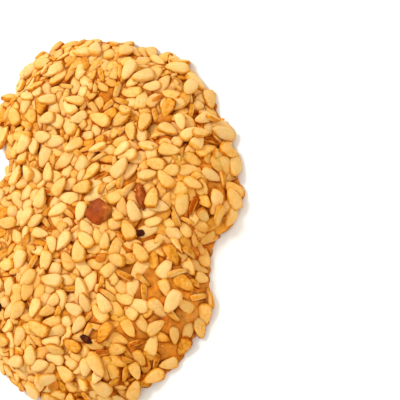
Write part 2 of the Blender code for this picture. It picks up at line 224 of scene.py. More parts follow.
FILL_DROP = 1.2  # the deeper the dough lies under a seed, the less it rises along it
UNDER_RIM = 0.25  # the share of a seed's outline over which the dough sinks under it
UNDER_DEPTH = 0.3
# How near the seeds lie, for the dough's painted shade and caramel between them
CREVICE_REACH = 0.26
CREVICE_HALO = 0.45  # how deep the dough counts along the rim of a single seed, for the painted shade and caramel there
GAP_REACH = 4.0
LEAST = 1e-6  # keeps a division from failing

# The seed's form: its half size is 1 each way.
SEED_ATTRIBUTES = ("toast", "tone", "rim", "along", "across", "gap", "eye")
SEED_SIDES = 10
SEED_RINGS = 7
SEED_SHAPES = 10
SHAPE_LUCK = 31
TAPER_SHARES = (0.6, 1.2)
SHAPE_STRAYS = (0.14, 0.1, 0.1)  # its bend, skew and cup
DENT_DEPTH = 0.16
DENT_WAVE = 1.5
DENT_PLACES = 50
OUTLINE_FULLNESS = 0.85
END_POINT = 0.3
FACE_FLATNESS = 0.42
SECTION_WIDTH = 0.72
SECTION_THICKNESS = 0.5
EYE_SHARE = 0.08

# How far a seed is toasted, where 1 is brown.
TOAST_LEAST = 0.16
TOAST_BY_LUCK = 0.12
TOAST_BY_CLOUD = 0.14
TOAST_CLOUD_WAVE = 8.0
TOAST_CLOUD_PLACE = Vector((4.0, 1.0, 9.0))
TOAST_BY_EDGE = 0.12
TOAST_EDGE_HEIGHT = 5.0
TOAST_OVERDONE = 0.2
OVERDONE_LUCK = 1.55
TOAST_IF_TUCKED = 0.14
TOAST_MOST = 0.68

# Where the crust is browner or paler, partly by browning and partly as painted light and shade of
# its rises and dips: x, y, reach, change.
TOAST_LIGHT_AND_SHADE_PATCHES = (
    (-13.0, -5.0, 3.0, 0.2),
    (-5.4, 5.1, 2.2, 0.17),
    (13.7, 4.2, 3.2, 0.24),
    (2.9, -5.1, 3.2, 0.22),
    (-8.8, -16.1, 2.5, 0.17),
    (3.3, -18.8, 3.2, 0.2),
    (7.3, -21.9, 3.0, 0.16),
    (-14.7, 12.5, 3.5, 0.14),
    (-13.5, -12.5, 3.0, 0.1),
    (3.6, 4.3, 2.8, -0.22),
    (9.5, 19.4, 3.0, -0.16),
    (14.2, 15.8, 2.5, -0.22),
    (-11.1, 21.3, 2.5, -0.2),
    (13.1, -5.0, 2.8, -0.2),
    (-2.3, 16.1, 2.5, -0.12),
    (-7.1, -8.6, 3.0, -0.14),
)

NUT_SMOOTHNESS = 5
NUT_WAVE = 1.7
NUT_WRINKLE = 0.03
NUT_WRINKLE_WAVE = 6.0
NUT_WEAR = ((0.85, 0.0), (0.1, 0.5))  # each chip's, towards its end and along its middle
NUT_WEAR_RAGGED = 0.35
NUT_WEAR_WAVE = 3.0
NUT_STEP = 5.0  # through the noise, from one chip to the next


class Lump(NamedTuple):
    """A kind of rough ball: how often it is divided, how rough it is, the wave of the noise in
    it, where in the noise the first one lies and the step to the next and, where it is pressed
    into the dough, its thickness and how far it sinks."""

    divisions: int
    roughness: float
    wave: float
    first: tuple
    step: tuple
    thickness: float = 0.9
    sink: float = 0.0


# Small dark flakes of nut skin: x, y, length, width, turn in degrees.
SKIN_FLAKES = (
    (6.8, -4.3, 1.5, 0.9, 5.0),
    (-1.0, -18.5, 1.9, 0.9, -42.0),
    (-11.8, 18.2, 2.0, 1.0, 75.0),
    (-14.3, -12.7, 1.5, 0.9, 80.0),
)
FLAKE = Lump(4, 0.3, 1.4, (0.0, 0.0, 0.0), (0.0, 7.0, 0.0), sink=0.05)

# Beads of caramelised glaze: x, y, length, width, turn in degrees.
GLAZE_BEADS = (
    (-7.2, -23.5, 3.3, 2.1, 105.0),
    (10.0, 12.3, 2.2, 1.5, 10.0),
    (1.4, -7.4, 1.8, 1.3, 30.0),
    (8.7, 15.3, 1.9, 0.8, 40.0),
)
BEAD = Lump(4, 0.22, 1.3, (0.0, 2.0, 0.0), (3.0, 0.0, 0.0), sink=0.2)

CRUMB = Lump(2, 0.4, 1.6, (0.0, 0.0, 5.0), (2.3, 0.0, 0.0))
CRUMB_LUCK = 77
CRUMB_COUNT = 120
CRUMB_SIZES = (0.16, 0.42)
CRUMB_LIFT = 0.7
CRUMB_SCALE = 0.8
CRUMB_FORM = (1.0, 0.8, 0.7)

# --- the camera, in millimetres and degrees ----------------------------------------------

CAMERA_TILT = 24.0  # off the cookie's upward normal
CAMERA_SIDE = -40.0  # the direction it leans to, round from +X
CAMERA_DISTANCE = 250.0
CAMERA_AIM = (14.53, 0.59, 3.0)  # before the cookie is set on the origin
FRAME_WIDTH = 55.5
SENSOR_WIDTH = 36.0

# --- the settings ------------------------------------------------------------------------


def colour_property(name, description, default):
    return FloatVectorProperty(
        name=name,
        description=description,
        default=default,
        subtype="COLOR",
        size=3,
        min=0.0,
        max=1.0,
    )


def count_property(name, description, default):
    return IntProperty(name=name, description=description, default=default, min=0, max=600)


class DoughSettings(bpy.types.PropertyGroup):
    """Colours of the baked dough."""

    amber: colour_property("Amber", "Glazed dough between seeds", (0.84, 0.285, 0.022))
    tan: colour_property("Tan", "Dry dough on the side and in patches", (0.84, 0.34, 0.055))
    # Painted shade and caramel, where the dough lies deep between seeds
    crevice_shade_and_caramel: colour_property("Crevice", "Dough deep between seeds", (0.52, 0.105, 0.002))
    pooled: colour_property("Pooled", "Pools of caramel on the dough", (0.7, 0.2, 0.007))
    underside: colour_property("Underside", "The baked base", (0.56, 0.25, 0.068))
    # Real browning of the base, also used as painted shade in the pores of the base
    scorched_and_pore_shade: colour_property("Scorched", "Where the base browned most", (0.25, 0.085, 0.02))
    gloss: FloatProperty(
        name="Gloss",
        description="How much the baked-on glaze shines",
        default=0.05,
        min=0.0,
        max=1.0,
        subtype="FACTOR",
    )


class SeedSettings(bpy.types.PropertyGroup):
    """Colours and number of the sesame seeds."""

    cream: colour_property("Cream", "The palest toasted seeds", (0.9, 0.57, 0.225))
    gold: colour_property("Gold", "Seeds toasted to gold", (0.86, 0.47, 0.122))
    # Toasted and Brown also tint a seed where it nears the dough or another seed: painted shade,
    # partly pooled glaze
    toasted: colour_property("Toasted", "Well toasted seeds", (0.74, 0.29, 0.02))
    brown: colour_property("Brown", "Seeds toasted too far", (0.36, 0.06, 0.0006))
    glaze: colour_property("Glaze", "Seeds under thick glaze", (0.82, 0.36, 0.05))
    eye: colour_property("Eye", "The dark tip of a few seeds", (0.03, 0.01, 0.005))
    fillers: count_property("Fillers", "Most small seeds laid between the large ones", 280)
    tucked: count_property("Tucked", "Most seeds bedded in the dough that still shows", 320)


class NutSettings(bpy.types.PropertyGroup):
    """Colours of the nut chips and the caramelised glaze."""

    skin: colour_property("Skin", "Russet skin of the nut chips", (0.34, 0.058, 0.006))
    kernel: colour_property("Kernel", "Broken face of a nut chip", (0.5, 0.16, 0.024))
    flake: colour_property("Flake", "Dark flakes of nut skin", (0.045, 0.007, 0.004))
    caramel: colour_property("Caramel", "Beads of glaze", (0.8, 0.25, 0.014))


class StageSettings(bpy.types.PropertyGroup):
    """Floor and light."""

    floor: colour_property("Floor", "The pale surface underneath", (0.93, 0.92, 0.91))
    key_power: FloatProperty(
        name="Key light",
        description="Power of the large soft light",
        default=5.1,
        min=0.0,
        unit="POWER",
    )
    sky: FloatProperty(
        name="Sky",
        description="Strength of the even light from all round",
        default=0.84,
        min=0.0,
    )


# --- the dough's form --------------------------------------------------------------------


def edge_radius(turn):
    """The outline's radius at an angle: a smooth curve through the radii given."""
    place = turn / (2 * math.pi) * len(EDGE_RADII)
    index = math.floor(place)
    share = place - index
    before, here, after, beyond = (
        EDGE_RADII[(index + step) % len(EDGE_RADII)] for step in (-1, 0, 1, 2)
    )
    leave = (after - before) / 2
    arrive = (beyond - here) / 2
    bend = 3 * (after - here) - 2 * leave - arrive
    twist = 2 * (here - after) + leave + arrive
    return here + share * (leave + share * (bend + share * twist))


def foot_spread(turn, height):
    """How far the ragged skirt stands out, and the tuck under its lip."""
    edge = Vector((math.cos(turn), math.sin(turn), 0.0)) * FOOT_RAGGED_REACH / FOOT_RAGGED_WAVE
    ragged = FOOT_SPREAD + FOOT_RAGGED * noise.noise(edge)
    tuck = FOOT_TUCK * max(0.0, 1 - height / FOOT_TUCK_HEIGHT) ** 2
    return ragged * math.exp(-((height / FOOT_HEIGHT) ** 2)) - tuck


def relief(x, y, z):
    """Rises, lumps and crags of the baked surface, measured along its normal."""
    at = Vector((x, y, z))
    height = LUMP_HEIGHT * noise.noise(at / LUMP_WAVE + LUMP_OFFSET)
    height += CRAG_HEIGHT * noise.noise(at / CRAG_WAVE - LUMP_OFFSET)
    for swell_x, swell_y, reach, rise in SWELLS:
        away = ((x - swell_x) ** 2 + (y - swell_y) ** 2) / reach**2
        height += rise * math.exp(-away)
    return height


def dough_point(turn, climb):
    """A point of the dough's skin in millimetres: climb is 0 at the foot, 1 at the crown."""
    radius = edge_radius(turn)
    lift = climb * math.pi / 2
    out = math.cos(lift) ** (2 / SIDE_POWER) if climb < 1 else 0.0
    up = math.sin(lift) ** (2 / TOP_POWER)
    height = DOUGH_HEIGHT * up
    reach = radius * out
    side = SIDE_POWER * out ** (SIDE_POWER - 1) / radius
    rise = TOP_POWER * up ** (TOP_POWER - 1) / DOUGH_HEIGHT
    size = math.hypot(side, rise)
    bump = relief(reach * math.cos(turn), reach * math.sin(turn), height)
    reach += bump * side / size + foot_spread(turn, height)
    height += bump * rise / size
    return Vector((reach * math.cos(turn), reach * math.sin(turn), max(height, 0.0)))


def dough_normal(turn, climb):
    low = min(max(climb - NORMAL_STEP, 0.0), HIGHEST_CLIMB - 2 * NORMAL_STEP)
    high = low + 2 * NORMAL_STEP
    across = dough_point(turn + NORMAL_STEP, climb) - dough_point(turn - NORMAL_STEP, climb)
    upward = dough_point(turn, high) - dough_point(turn, low)
    return across.cross(upward).normalized()


def climb_at(turn, reach):
    """The climb whose point lies at this distance from the middle, by halving."""
    low, high = 0.0, 1.0
    for _ in range(CLIMB_HALVINGS):
        middle = (low + high) / 2
        if dough_point(turn, middle).xy.length > reach:
            low = middle
        else:
            high = middle
    return low


# --- where the seeds lie -----------------------------------------------------------------


class Seed:
    """One seed: its centre, its three axes (rows), half its size along each, the point and
    normal of the dough under it, and whether it is tucked between others."""

    def __init__(self, centre, axes, half, ground, up, tucked=False):
        self.centre = centre
        self.axes = axes
        self.half = half
        self.ground = ground
        self.up = up
        self.tucked = tucked


def unit(vector):
    return vector / np.linalg.norm(vector)


def reach_of(seed):
    """How far a seed reaches from its middle along x, y and z."""
    return np.linalg.norm(seed.axes * seed.half[:, None], axis=0)


def tops_over(points, normal, placed):
    """How high the seeds already placed stand over each point, along the normal."""
    heights = np.zeros(len(points))
    if not placed:
        return heights
    centres = np.array([seed.centre for seed in placed])
    near = np.linalg.norm(centres - points[0], axis=1) < 2 * SEED_LENGTH
    chosen = [placed[index] for index in np.flatnonzero(near)]
    if not chosen:
        return heights
    centres = centres[near]
    scaled = np.array([seed.axes / seed.half[:, None] for seed in chosen])
    ray = scaled @ normal
    for index, point in enumerate(points):
        start = np.einsum("kij,kj->ki", scaled, point - centres)
        a = (ray * ray).sum(axis=1)
        b = (ray * start).sum(axis=1)
        c = (start * start).sum(axis=1) - 1
        inside = b * b - a * c
        hit = inside > 0
        if hit.any():
            top = (-b[hit] + np.sqrt(inside[hit])) / a[hit]
            heights[index] = max(0.0, top.max())
    return heights


def rest_seed(point, normal, along, half, on_edge, most_pile, placed):
    """Lays a seed on the dough and on the seeds under it, or returns None if they pile up."""
    across = np.cross(normal, along)
    arm, span = ARM_SHARE * half[0], SPAN_SHARE * half[1]
    feet = [point, point + arm * along, point - arm * along]
    feet += [point + span * across, point - span * across]
    heights = tops_over(np.array(feet), normal, placed)
    lean_along = np.clip((heights[1] - heights[2]) / (2 * arm), -STEEPEST_LEAN, STEEPEST_LEAN)
    lean_across = np.clip((heights[3] - heights[4]) / (2 * span), -STEEPEST_LEAN, STEEPEST_LEAN)
    offsets = np.array([0.0, arm * lean_along, -arm * lean_along])
    offsets = np.append(offsets, [span * lean_across, -span * lean_across])
    base = (heights - offsets).max()
    if base > most_pile:
        return None
    if base < SEED_BITE:
        base = -SEED_SINK * 2 * half[2]
    else:
        base -= SEED_BITE
    thin = unit(normal - lean_along * along - lean_across * across)
    along = unit(along - thin * (along @ thin))
    across = np.cross(thin, along)
    if on_edge:
        across, thin = thin, -across
        base -= EDGE_SINK * half[1]
    rise = half[1] if on_edge else half[2]
    centre = point + normal * (base + rise)
    return Seed(centre, np.array([along, across, thin]), half, point, normal)


def is_bare(x, y):
    for patch_x, patch_y, radius in BARE_PATCHES:
        if math.hypot(x - patch_x, y - patch_y) < radius:
            return True
    for chip_x, chip_y, length, width, _, degrees in NUT_CHIPS:
        angle = math.radians(degrees)
        along = (x - chip_x) * math.cos(angle) + (y - chip_y) * math.sin(angle)
        across = (y - chip_y) * math.cos(angle) - (x - chip_x) * math.sin(angle)
        if math.hypot(along / length, across / width) < NUT_CLEARANCE:
            return True
    return False


@functools.cache
def skin_grid():
    """Points of the skin on an even grid of turns and climbs."""
    turns = [2 * math.pi * step / SAMPLE_TURNS for step in range(SAMPLE_TURNS + 1)]
    climbs = [step / SAMPLE_CLIMBS for step in range(SAMPLE_CLIMBS + 1)]
    return np.array([[dough_point(turn, climb) for climb in climbs] for turn in turns])


def skin_samples(draw, count):
    """Random places on the skin, as likely anywhere by area, as turns and climbs."""
    grid = skin_grid()
    one = grid[1:, 1:] - grid[:-1, :-1]
    other = grid[:-1, 1:] - grid[1:, :-1]
    area = np.linalg.norm(np.cross(one, other), axis=2).ravel()
    cells = draw.choice(area.size, size=count, p=area / area.sum())
    places = []
    for cell in cells:
        turn = 2 * math.pi * (cell // SAMPLE_CLIMBS + draw.random()) / SAMPLE_TURNS
        climb = min((cell % SAMPLE_CLIMBS + draw.random()) / SAMPLE_CLIMBS, HIGHEST_CLIMB)
        places.append((turn, climb))
    return places


def lying(point, normal, stray, tilts):
    """The way that a seed points where it lies, and its own tipped normal."""
    flow = 2 * math.pi * noise.noise(Vector(point) / FLOW_WAVE) + FLOW_STRAY * stray
    level = unit(np.cross(normal, (-math.sin(flow), math.cos(flow), FLOW_RISE)))
    tipped = unit(normal + TILT_STRAY * (tilts[0] * level + tilts[1] * np.cross(normal, level)))
    return unit(level - tipped * (level @ tipped)), tipped


def seed_size(size, scale):
    """Half a seed's length, width and thickness, where size is its luck."""
    scale *= 1 + SEED_SPREAD * np.clip(size, -MOST_SPREAD, MOST_SPREAD)
    return np.array([SEED_LENGTH, SEED_WIDTH, SEED_THICKNESS]) / 2 * scale


def fits_room(seed, room):
    """Whether a seed clears the ground, once lifted a little, and the sides of the room."""
    reach = reach_of(seed)
    lift = max(0.0, SEED_CLEARANCE + reach[2] - seed.centre[2])
    if lift > MOST_LIFT:
        return False
    seed.centre[2] += lift
    if room is None:
        return True
    return bool((seed.centre - reach > room[0]).all() and (seed.centre + reach < room[1]).all())


def sparseness(point):
    """1 in the middle of the thinly seeded part, and less the further from it."""
    away = math.hypot(point[0] - SPARSE_AT[0], point[1] - SPARSE_AT[1])
    return math.exp(-((away / SPARSE_REACH) ** 2))


def nearest_seed(point, placed):
    """How far the nearest seed's middle is from a point."""
    if not placed:
        return math.inf
    return np.linalg.norm(np.array([seed.centre for seed in placed]) - point, axis=1).min()


def free_places(placed, laying, most):
    """Places where the dough has room for one more seed, until enough are placed. Each comes
    as its point, normal and steepness, then the seed's way, tipped normal, half size and
    luck."""
    draw = np.random.default_rng(laying.luck)
    for turn, climb in skin_samples(draw, laying.tries):
        if len(placed) >= most:
            break
        stray, tilt_a, tilt_b, size = draw.normal(size=4)
        luck = draw.random()
        point = np.array(dough_point(turn, climb))
        if is_bare(point[0], point[1]):
            continue
        normal = np.array(dough_normal(turn, climb))
        side = np.clip((SIDE_RISE - normal[2]) / SIDE_RISE, 0, 1)
        spacing = laying.spacing + side * (laying.side_spacing - laying.spacing)
        spacing *= 1 + laying.thinning * sparseness(point)
        if nearest_seed(point, placed) < spacing:
            continue
        along, tipped = lying(point, normal, stray, (tilt_a, tilt_b))
        yield point, normal, side, along, tipped, seed_size(size, laying.scale), luck


def lay_seeds(placed, laying, most, room=None):
    """Lays seeds one by one on the dough and on each other."""
    for point, _, side, along, tipped, half, luck in free_places(placed, laying, most):
        on_edge = luck < laying.edge_share and side < ON_EDGE_SIDE
        pile = SEED_BITE if on_edge else max(SEED_BITE, MOST_PILE * (1 - side))
        seed = rest_seed(point, tipped, along, half, on_edge, pile, placed)
        if seed is not None and fits_room(seed, room):
            placed.append(seed)
    return placed


def tuck_seeds(placed, most, room):
    """Beds seeds in the dough wherever it shows between those already laid."""
    low, high = TUCKED_TOPS
    for point, normal, _, along, tipped, half, luck in free_places(placed, TUCKED, most):
        if tops_over(point[None], normal, placed)[0] > 0:
            continue
        top = low + (high - low) * luck
        axes = np.array([along, np.cross(tipped, along), tipped])
        seed = Seed(point + normal * (top - half[2]), axes, half, point, tipped, tucked=True)
        if fits_room(seed, room):
            placed.append(seed)
    return placed


def middle_of(seeds):
    """The middle of the crusted cookie's outline, so that it can be set on the origin."""
    turns = (2 * math.pi * step / OUTLINE_STEPS for step in range(OUTLINE_STEPS))
    outline = np.array([dough_point(turn, climb) for turn in turns for climb in OUTLINE_CLIMBS])
    reach = np.array([reach_of(seed) for seed in seeds])
    centres = np.array([seed.centre for seed in seeds])
    low = np.minimum(outline.min(axis=0), (centres - reach).min(axis=0))
    high = np.maximum(outline.max(axis=0), (centres + reach).max(axis=0))
    middle = (low + high) / 2
    return Vector((middle[0], middle[1], 0.0))


@functools.cache
def crust_layout(fillers, tucked):
    """All seeds, the solid's large ones first, and the middle that they are centred on."""
    large = lay_seeds([], LARGE, SEED_COUNT)
    middle = middle_of(large)
    low, high = (np.array(corner) / MM for corner in cad_box)
    room = (low + np.array(middle) + BOX_MARGIN, high + np.array(middle) - BOX_MARGIN)
    seeds = lay_seeds(list(large), FILLERS, SEED_COUNT + fillers, room)
    tuck_seeds(seeds, len(seeds) + tucked, room)
    return seeds, middle


def layout():
    """The seeds and their middle, with as many seeds as the settings say."""
    look = bpy.context.scene.cookie_seeds
    return crust_layout(look.fillers, look.tucked)


# --- making pieces -----------------------------------------------------------------------


def new_piece(name, form, material):
    """Writes a form in millimetres to an object at the origin, in metres."""
    middle = layout()[1]
    bmesh.ops.translate(form, vec=-middle, verts=form.verts)
    bmesh.ops.scale(form, vec=(MM, MM, MM), verts=form.verts)
    low, high = cad_box
    for vert in form.verts:
        for axis in range(3):
            vert.co[axis] = min(max(vert.co[axis], low[axis]), high[axis])
    bmesh.ops.recalc_face_normals(form, faces=form.faces)
    mesh = bpy.data.meshes.new(name)
    form.to_mesh(mesh)
    form.free()
    mesh.shade_smooth()
    mesh.materials.append(material)
    piece = bpy.data.objects.new(name, mesh)
    bpy.context.scene.collection.objects.link(piece)
    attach(piece, BODY)
    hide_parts(NODE)
    return piece


def square_to_disc(x, y):
    """The ring (0 to 1) and turn of a square grid's point, once the square is drawn round."""
    if x == 0 and y == 0:
        return 0.0, 0.0
    if abs(x) >= abs(y):
        turn = math.pi / 4 * y / x
        if x < 0:
            turn += math.pi
        return abs(x), turn
    turn = math.pi / 2 - math.pi / 4 * x / y
    if y < 0:
        turn += math.pi
    return abs(y), turn


def climb_table():
    """Climbs at even steps of the way from the crown to the foot, averaged round the edge."""
    grid = skin_grid()[::TABLE_STRIDE]
    steps = np.linalg.norm(np.diff(grid[:, ::-1], axis=1), axis=2).mean(axis=0)
    way = np.concatenate([[0.0], np.cumsum(steps)])
    return way / way[-1], np.linspace(1.0, 0.0, len(way))


def crust_relief(point):
    """Fine relief of the baked dough: grain, crumbs and burst pores."""
    height = GRAIN_HEIGHT * noise.noise(point / GRAIN_WAVE)
    height += CRUMB_HEIGHT * noise.noise(point / CRUMB_WAVE + LUMP_OFFSET)
    apart = noise.voronoi(point / PORE_WAVE)[0][0]
    height -= PORE_DEPTH * max(0.0, 1 - apart / PORE_SIZE) ** 2
    return height


def crumble(point):
    """Rounded crumbs with cracks between, as on the dough's broken side."""
    return CRUMBLE_HEIGHT * (CRUMBLE_LEVEL - noise.voronoi(point / CRUMBLE_WAVE)[0][0])


def make_skin(form):
    """The dough's upper skin: a square grid drawn round, laid on the lobed form."""
    bmesh.ops.create_grid(form, x_segments=SKIN_CELLS, y_segments=SKIN_CELLS, size=1.0)
    way, climbs = climb_table()
    for vert in form.verts:
        ring, turn = square_to_disc(vert.co.x, vert.co.y)
        climb = float(np.interp(ring, way, climbs))
        vert.co = dough_point(turn, climb)


def base_pore(foot):
    """How deep a point of the underside lies in a burst pore, from 0 to 1."""
    return max(0.0, 1 - noise.voronoi(foot / BASE_PORE_WAVE)[0][0] / BASE_PORE_SIZE)


def make_base(form):
    """The underside, a little hollow, stitched to the skin's foot."""
    made = bmesh.ops.create_grid(form, x_segments=BASE_CELLS, y_segments=BASE_CELLS, size=1.0)
    base = made["verts"]
    level, crumbs, grain = BASE_ROUGHNESS
    for vert in base:
        ring, turn = square_to_disc(vert.co.x, vert.co.y)
        foot = dough_point(turn, 0.0) * ring * BASE_SHARE
        rough = level + crumbs * noise.noise(foot / CRUMB_WAVE)
        rough += grain * noise.noise(foot / GRAIN_WAVE)
        lift = BASE_HOLLOW * max(0.0, rough) + BASE_PORE_DEPTH * base_pore(foot)
        lift *= min(1.0, (1 - ring) / BASE_RIM)
        vert.co = Vector((foot.x, foot.y, lift - BASE_DROP))
    rims = [edge for edge in form.edges if edge.is_boundary]
    bmesh.ops.bridge_loops(form, edges=rims)
    bmesh.ops.translate(form, vec=(0.0, 0.0, BASE_DROP), verts=base)


def vectors_of(verts, name):
    """The places or normals of vertices, one in a row."""
    values = np.empty(len(verts) * 3)
    verts.foreach_get(name, values)
    return values.reshape(-1, 3)


def at_each(points, height):
    """What a function of a point gives at each of many."""
    return np.array([height(Vector(point)) for point in points])


def raise_dough(mesh, seeds):
    """Lifts the dough along each seed's rim, and marks how deep between seeds a point lies, and how
    deep in a pore of the base, where shade is painted.
    """
    points = vectors_of(mesh.vertices, "co")
    normals = vectors_of(mesh.vertices, "normal")
    upper = normals[:, 2] > UPPER_SLOPE
    lift, under, crevice_shade_and_caramel = np.zeros((3, len(points)))
    for seed in seeds:
        from_centre = points - seed.centre
        near = np.flatnonzero((np.abs(from_centre).max(axis=1) < SEED_LENGTH) & upper)
        local = from_centre[near] @ seed.axes.T
        level = 1 if abs(seed.axes[1] @ seed.up) < abs(seed.axes[2] @ seed.up) else 2
        outline = np.hypot(local[:, 0] / seed.half[0], local[:, level] / seed.half[level])
        inward = np.hypot(local[:, 0], local[:, level]) / np.maximum(outline, LEAST)
        gap = np.maximum(outline - 1, 0) * inward
        below = np.clip(-(local @ (seed.axes @ seed.up)), 0, SEED_THICKNESS)
        wet = np.exp(-((gap / FILL_REACH) ** 2)) * np.clip(FILL_DROP - below, 0, 1)
        lift[near] = np.maximum(lift[near], wet)
        under[near] = np.maximum(under[near], np.clip((1 - outline) / UNDER_RIM, 0, 1))
        crevice_shade_and_caramel[near] += np.exp(-((gap / CREVICE_REACH) ** 2))
    rough = at_each(points, crust_relief)
    rough += at_each(points, crumble) * np.interp(normals[:, 2], CRUMBLE_SLOPES, CRUMBLE_SHARES)
    fill = at_each(points, lambda point: noise.noise(point / FILL_WAVE))
    fill = np.interp(fill, FILL_LEVELS, FILL_RISE)
    risen = (lift * fill + rough * upper) * (1 - under) - UNDER_DEPTH * under
    points += normals * risen[:, None]
    points[:, 2] = np.maximum(points[:, 2], 0.0)
    mesh.vertices.foreach_set("co", points.ravel())
    # The base's pores are marked too, for painted shade in them
    pores = np.where(upper, 0.0, points[:, 2] / BASE_PORE_DEPTH)
    # Painted shade and caramel go where two seeds' rims meet, and more faintly along a single
    # seed's rim
    halo = CREVICE_HALO * np.minimum(crevice_shade_and_caramel, 1)
    return np.clip(np.maximum.reduce([crevice_shade_and_caramel - 1, halo, pores]), 0, 1), upper


def set_attribute(mesh, name, values):
    layer = mesh.attributes.new(name, "FLOAT", "POINT")
    layer.data.foreach_set("value", np.asarray(values, dtype=np.float32))


# --- materials ---------------------------------------------------------------------------


class Pattern(NamedTuple):
    """Noise of so many steps to a metre, with two of its levels set to two values."""

    scale: float
    detail: float
    low: float
    high: float
    to_low: float = 0.0
    to_high: float = 1.0
    roughness: float = 0.55


class Grit(NamedTuple):
    """A relief of fine noise: its steps to a metre, and its depth in metres."""

    scale: float
    detail: float
    depth: float
    strength: float
    roughness: float = 0.55


# Four numbers in a row are two levels of a value, and what it is spread to at each.
GLAZE_PATCHES = Pattern(170.0, 2.0, 0.56, 0.72, 0.0, 0.6)

TAN_PATCHES = Pattern(160.0, 2.0, 0.46, 0.64)
TAN_FOOT = (0.1, 0.45, 0.6, 0.0)
CARAMEL_POOLS = Pattern(290.0, 4.0, 0.44, 0.58, 0.0, 0.9)
# Painted shade and caramel deep between seeds
CARAMEL_AND_SHADE_DEPTHS = (0.0, 0.8, 0.0, 0.95)
SCORCH = Pattern(110.0, 5.0, 0.4, 0.66, roughness=0.65)
# Painted shade in the pores of the base
PORE_SHADE_LEVELS = (0.15, 0.9, 0.0, 0.75)
DOUGH_MOTTLE = Pattern(800.0, 5.0, 0.32, 0.7, 0.62, 1.18)
DOUGH_CLOUDS = Pattern(330.0, 2.0, 0.35, 0.65, 0.76, 1.12)
DOUGH_DULLNESS = Pattern(500.0, 3.0, 0.3, 0.7, 0.36, 0.62)
DOUGH_GRIT = Grit(2600.0, 6.0, 0.00012, 0.8, roughness=0.65)

RIM_TOAST = (0.78, 1.0, 0.0, 0.5)
SEED_BLOTCHES = Pattern(750.0, 4.0, 0.3, 0.75, -0.1, 0.14)
SEED_SPECKLE = Pattern(2300.0, 2.0, 0.35, 0.68, -0.1, 0.15)
TOAST_STOPS = (0.0, 0.36, 0.68, 1.0)
# Steps of the streaks' noise along a seed, across it and from one seed to the next.
STREAK_STEPS = (("X", "along", 0.8), ("Y", "across", 5.0), ("Z", "tone", 37.0))
STREAK_DETAIL = 3.0
STREAK_SHADES = (0.3, 0.7, 0.93, 1.05)
TONE_SHADES = (0.0, 1.0, 0.88, 1.07)
GAP_RAGGED = Pattern(1500.0, 3.0, 0.3, 0.7, -0.06, 0.06)
GAP_CLOUDS = Pattern(240.0, 1.0, 0.4, 0.6, 0.4, 1.0)
# Painted contact shade, partly pooled glaze, where a seed nears the dough or another seed
GAP_WARM_SHADE_AND_GLAZE = (0.1, 0.33, 0.75, 0.0)
GAP_DARK_SHADE_AND_GLAZE = (0.03, 0.15, 1.0, 0.0)
EYE_REACH = (0.9, 0.97)
SEED_DULLNESS = Pattern(900.0, 3.0, 0.3, 0.7, 0.36, 0.55)
SEED_GRIT = Grit(3200.0, 4.0, 0.00006, 0.7)

NUT_WORN = (0.35, 0.75)
NUT_MOTTLE = Pattern(900.0, 5.0, 0.3, 0.75, 0.65, 1.3)
NUT_GRIT = Grit(2200.0, 6.0, 0.00012, 0.8)
FLAKE_TINT = Pattern(1200.0, 4.0, 0.5, 0.8, 0.0, 0.5)
FLAKE_GRIT = Grit(3000.0, 5.0, 0.0001, 0.7)
CARAMEL_TINT = Pattern(500.0, 3.0, 0.35, 0.7)
CARAMEL_SHADE = 0.6
CARAMEL_GRIT = Grit(1100.0, 3.0, 0.00012, 0.5)
CRUMB_TINT = (0.1, 0.9)
CRUMB_GRIT = Grit(3500.0, 5.0, 0.00008, 0.8)
FLOOR_TINT = Pattern(9.0, 3.0, 0.3, 0.7)
FLOOR_SHADE = 0.985


